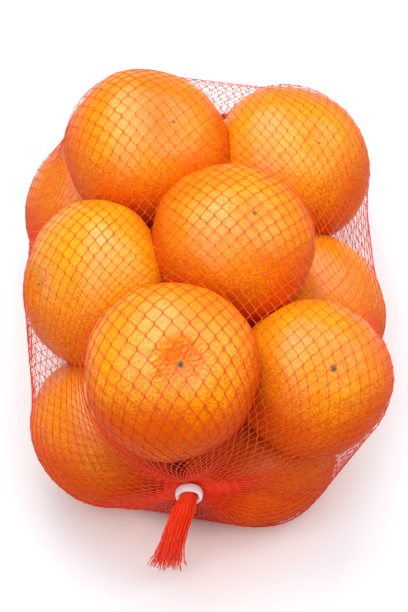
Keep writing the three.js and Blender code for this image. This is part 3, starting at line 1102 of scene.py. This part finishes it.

# %% [markdown]
# The floor is a wide white sheet of paper. Near the net it also takes up light that went through the net and
# between the fruits many times, which a render works out only in part. A faint glow of its own stands for
# that: none under the net, where the paper is painted a dark red as painted shade of the heap and its net,
# warm beside it, then grey, and white far off, so that the background stays white. Brighter lamps would do
# that too, but they would bleach the thin strands.

# %% Floor
FLOOR_RADIUS = 4000
FLOOR_RINGS = np.array([0.02, 0.1, 0.4, 1.0])
FLOOR_AROUND = 96
FOOTPRINT = (1 / 0.073, 1 / 0.113, 0)  # makes the half width and half length of the net one unit
PAPER_SHADE = (0.56, 0.55, 0.56, 1)
PAPER_PALE = (0.58, 0.57, 0.58, 1)
# Painted shade: the floor under the net, seen between the fruits, is painted a dark red.
SHADED_RED_UNDER_NET = (0.42, 0.045, 0.025, 1)
WARM_GLOW = (0.26, 0.15, 0.125, 1)
GREY_GLOW = (0.17, 0.16, 0.17, 1)
WHITE_GLOW = (0.97, 0.97, 0.97, 1)
# The painted dark red shade under the net ends over these distances.
SHADE_UNDER_NET_FROM_TO = (0.66, 0.84)  # distances in those units over which the red paper ends
WARM_FROM_TO = (0.7, 0.86)  # and over which each glow begins
GREY_FROM_TO = (0.85, 1.15)
WHITE_FROM_TO = (2.5, 16)


def floor_finish():
    """Matt white paper whose colour and glow follow its distance from the middle of the net."""
    material, start = blank_finish("floor_white")
    place = object_place(start)
    clouds = noise(start, place, 120, 3)
    colour = mixed(clouds, PAPER_SHADE, PAPER_PALE)
    shares = start.node("ShaderNodeVectorMath", {"operation": "MULTIPLY"}, {0: place, 1: FOOTPRINT})
    from_net = start.node("ShaderNodeVectorMath", {"operation": "LENGTH"}, {0: shares}, "Value")
    # Painted shade: dark red under the net, where the heap and its net shade the floor.
    colour = mixed(step_between(from_net, *SHADE_UNDER_NET_FROM_TO), SHADED_RED_UNDER_NET, colour)
    glow = mixed(step_between(from_net, *WARM_FROM_TO), NO_GLOW, WARM_GLOW)
    glow = mixed(step_between(from_net, *GREY_FROM_TO), glow, GREY_GLOW)
    glow = mixed(step_between(from_net, *WHITE_FROM_TO), glow, WHITE_GLOW)
    sockets = {"Base Color": colour, "Roughness": 0.7}
    sockets |= {"Emission Color": glow, "Emission Strength": 1}
    output(start, start.node("ShaderNodeBsdfPrincipled", {}, sockets))
    return material


def floor_points():
    """A disc as a grid: rings of points that grow from the middle to the rim."""
    radius = FLOOR_RINGS[:, None] * FLOOR_RADIUS
    around = 2 * np.pi * np.arange(FLOOR_AROUND)[None, :] / FLOOR_AROUND
    disc = np.stack([radius * np.cos(around), radius * np.sin(around), 0 * radius * around], -1)
    return np.concatenate([disc.reshape(-1, 3), [[0, 0, 0]]])


disc_faces = grid_corners(len(FLOOR_RINGS), FLOOR_AROUND)
first_ring = np.arange(FLOOR_AROUND)
middle = np.full(FLOOR_AROUND, len(FLOOR_RINGS) * FLOOR_AROUND)
fan = np.stack([middle, first_ring, (first_ring + 1) % FLOOR_AROUND], -1)
floor_faces = np.concatenate([disc_faces[:, [0, 1, 2]], disc_faces[:, [0, 2, 3]], fan])
floor = put_piece("floor", floor_points(), floor_faces, floor_finish())
print("the floor has", len(floor_faces), "triangles")

# %% [markdown]
# Four large softboxes light the net: the strongest straight above, one behind it, one at its right and one at
# the left in front, and a dim white room fills the rest. Large lamps make soft shadows and wide, mild
# gloss. A picture of a real studio as the world's light would do too, but its lamps couldn't be moved.

# %% Light
LIGHTS = {
    "softbox_over": dict(at=(-0.15, 0.0, 1.3), size=1.8, power=22),
    "softbox_behind": dict(at=(-0.1, 0.6, 1.15), size=1.0, power=9),
    "softbox_right": dict(at=(0.9, 0.1, 0.95), size=1.2, power=9),
    "softbox_front": dict(at=(-0.5, -0.85, 1.0), size=1.3, power=9),
}
AIM = Vector((0, 0, 0.05))
ROOM_LIGHT = 0.06


def softbox(name, at, size, power):
    """A large round lamp that faces the net."""
    light = bpy.data.lights.new(name, "AREA")
    light.shape = "DISK"
    light.size = size
    light.energy = power
    lamp = bpy.data.objects.new(name, light)
    lamp.location = at
    lamp.rotation_mode = "QUATERNION"
    lamp.rotation_quaternion = (AIM - lamp.location).to_track_quat("-Z", "Y")
    bpy.context.scene.collection.objects.link(lamp)


for name, values in LIGHTS.items():
    softbox(name, **values)

world = bpy.data.worlds.new("white_room")
world.use_nodes = True
room = next(node for node in world.node_tree.nodes if node.type == "BACKGROUND")
room.inputs["Color"].default_value = (1, 0.99, 0.98, 1)
room.inputs["Strength"].default_value = ROOM_LIGHT
bpy.context.scene.world = world
view = bpy.context.scene.view_settings
view.view_transform = "Standard"
print(len(LIGHTS), "softboxes and a dim room")

# %% [markdown]
# The camera looks down on the net from the front, at the angle at which the fruits overlap as they should.
# Its lens follows from how many pixels a millimetre takes in a picture 612 pixels high.

# %% Camera
PICTURE_HEIGHT = 612
FOCAL_PIXELS = 1698.7
SENSOR = 36
ELEVATION = np.radians(53)
DISTANCE = 654
LOOK_AT = np.array([0, -25.5, 60])

camera_data = bpy.data.cameras.new("camera")
camera_data.sensor_width = SENSOR
camera_data.lens = FOCAL_PIXELS / PICTURE_HEIGHT * SENSOR
camera_data.dof.use_dof = False
camera = bpy.data.objects.new("camera", camera_data)
back = np.array([0, -np.cos(ELEVATION), np.sin(ELEVATION)])
camera.location = (LOOK_AT + back * DISTANCE) * MM
camera.rotation_mode = "QUATERNION"
camera.rotation_quaternion = Vector(-back).to_track_quat("-Z", "Y")
bpy.context.scene.collection.objects.link(camera)
bpy.context.scene.camera = camera
print("lens", round(camera_data.lens, 2), "mm")
